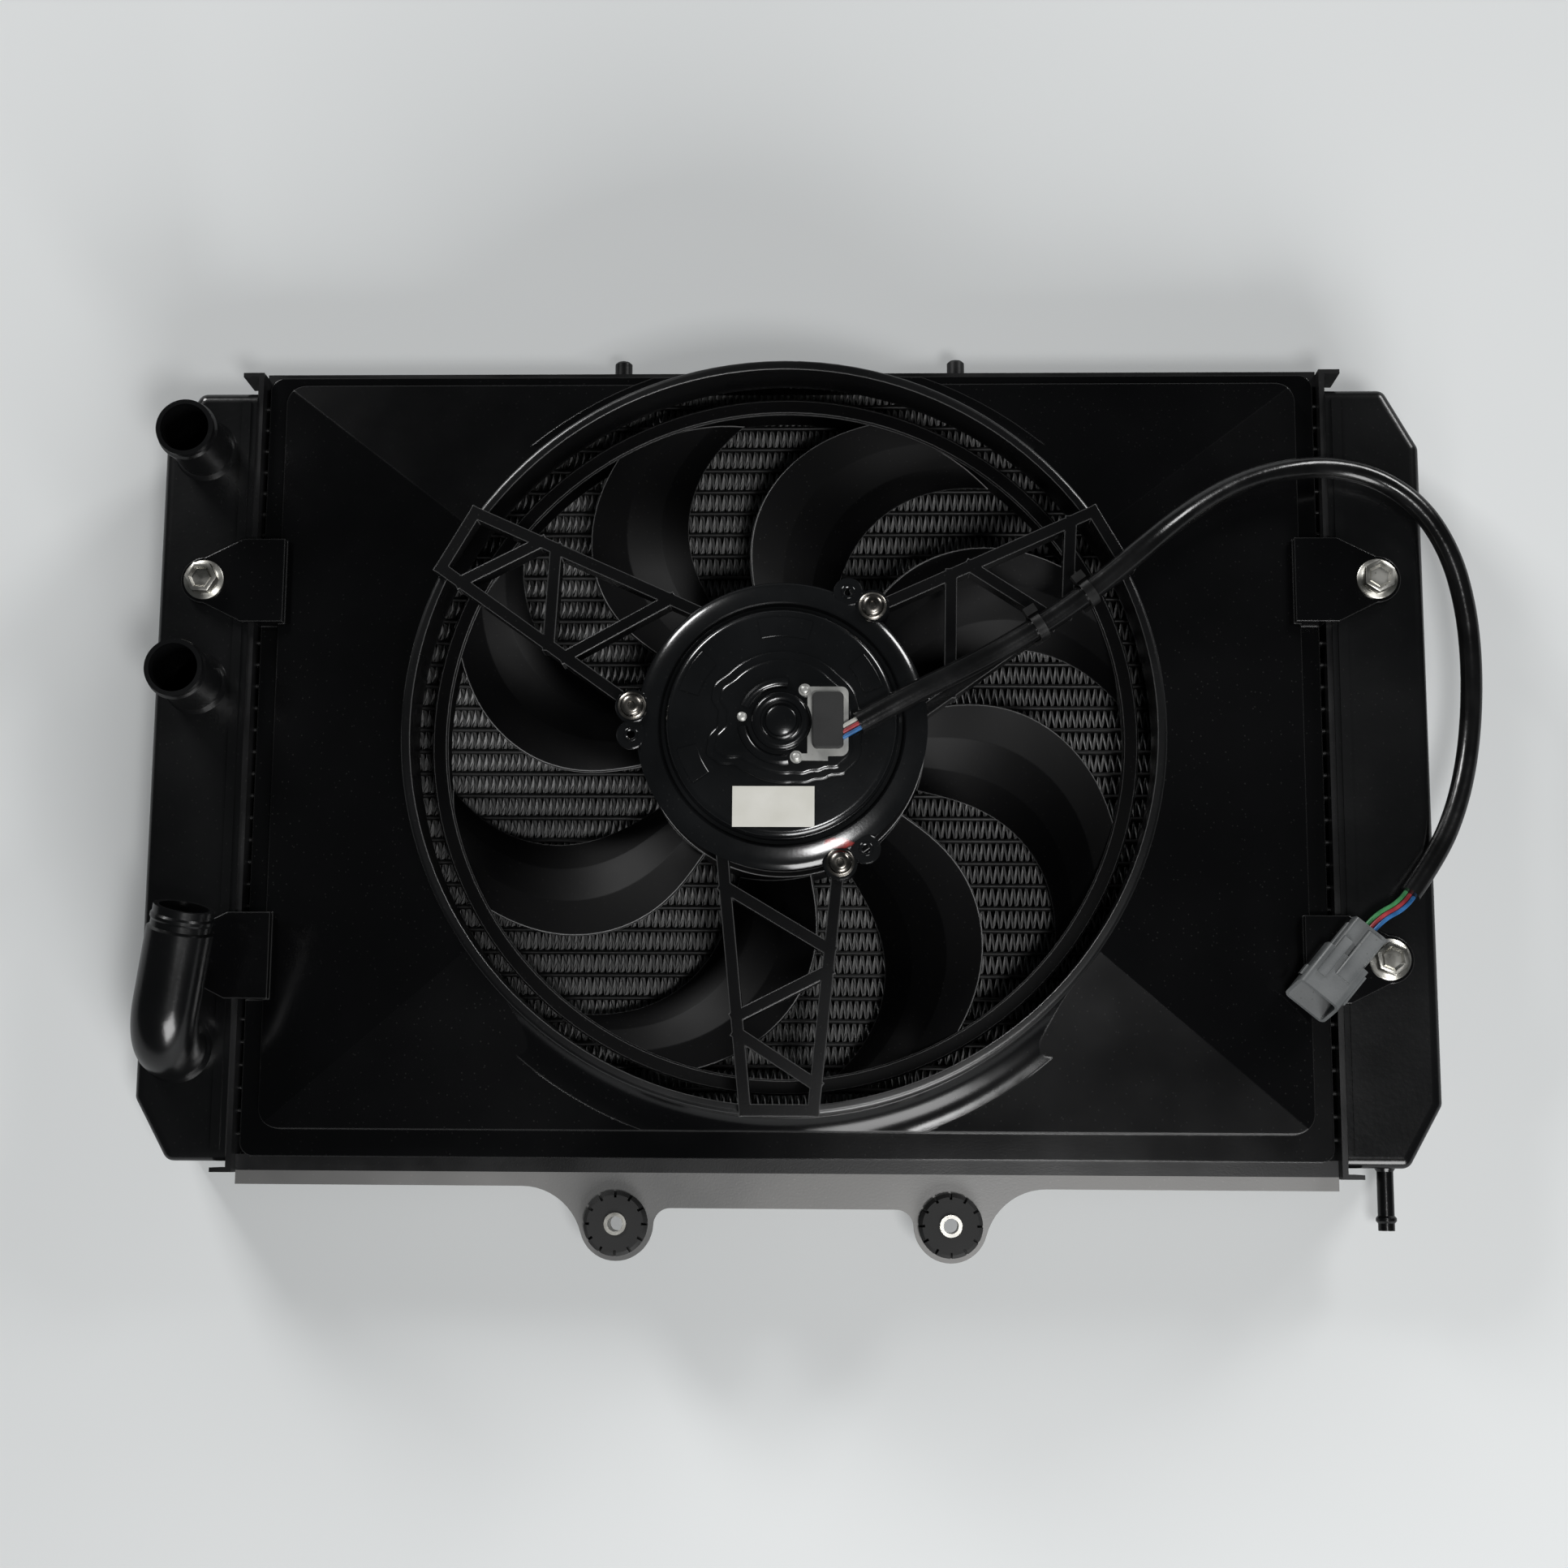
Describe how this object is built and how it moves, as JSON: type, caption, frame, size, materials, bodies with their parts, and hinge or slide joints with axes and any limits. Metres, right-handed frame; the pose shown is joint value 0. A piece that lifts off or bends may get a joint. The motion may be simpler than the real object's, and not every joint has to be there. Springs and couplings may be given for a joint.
{
  "type": "engine radiator with electric fan",
  "caption": "Car radiator with side tanks, hose pipes, a shroud, a banded fan turned by an electric motor on a lattice stay, and its cord with a connector.",
  "frame": {"origin": "middle of the outline without the cord, at the level that the two tanks rest on", "axes": "+X from the tank with the hose pipes to the other tank, +Y from the bracket to the locating pins, +Z along the fan's axis, from the core to the motor"},
  "size_m": [0.5933, 0.4106, 0.1241],
  "materials": {
    "tube_alloy": "dull",
    "fin_alloy": "dull",
    "plate_alloy": "satin",
    "tank_paint": "satin",
    "bracket_paint": "satin",
    "rubber": "matt",
    "zinc": "satin",
    "shroud_plastic": "matt",
    "motor_steel": "satin",
    "magnet": "matt",
    "lamination": "satin",
    "copper": "satin",
    "brush_resin": "matt",
    "bronze": "satin",
    "steel": "satin",
    "bright_steel": "satin",
    "pale_film": "matt",
    "fan_plastic": "satin",
    "wire_skin": "satin",
    "sleeve_skin": "satin",
    "tie_nylon": "satin",
    "connector_nylon": "satin",
    "seal_rubber": "matt"
  },
  "bodies": {
    "radiator": {"core_tubes": "tube_alloy", "core_fins": "fin_alloy", "header_plate_left": "plate_alloy", "header_plate_right": "plate_alloy", "tank_left": "tank_paint", "tank_right": "tank_paint", "hose_port_upper": "tank_paint", "hose_port_lower": "tank_paint", "elbow_pipe": "tank_paint", "vent_pipe": "tank_paint", "side_plate_top": "plate_alloy", "side_plate_bottom": "plate_alloy", "locating_pins": "plate_alloy", "mounting_bracket": "bracket_paint", "grommets": "rubber", "grommet_collars": "zinc", "weld_nuts": "zinc", "fan_shroud": "shroud_plastic", "shroud_ring": "shroud_plastic", "shroud_bolts": "zinc", "motor_stay": "shroud_plastic", "motor_cover": "motor_steel", "motor_can": "motor_steel", "motor_magnets": "magnet", "brush_plate": "brush_resin", "front_bearing": "bronze", "rear_bearing": "bronze", "bearing_cap": "motor_steel", "terminal_plate": "bright_steel", "wire_grommet": "rubber", "rivets": "steel", "motor_screws": "motor_steel", "blank_patch": "pale_film", "motor_wires": "wire_skin", "cord_sleeve": "sleeve_skin", "cable_ties": "tie_nylon", "connector_wires": "wire_skin", "connector": "connector_nylon", "connector_seal": "seal_rubber"},
    "fan": {"fan_hub": "fan_plastic", "fan_band": "fan_plastic", "fan_blades": "fan_plastic", "motor_shaft": "steel", "armature": "lamination", "commutator": "copper", "fan_nut": "zinc"}
  },
  "joints": [
    {"name": "fan_spin", "type": "hinge", "parent": "radiator", "child": "fan", "pos_m": [0, 0.0186, 0.07], "axis": [0, 0, 1], "continuous": true}
  ]
}
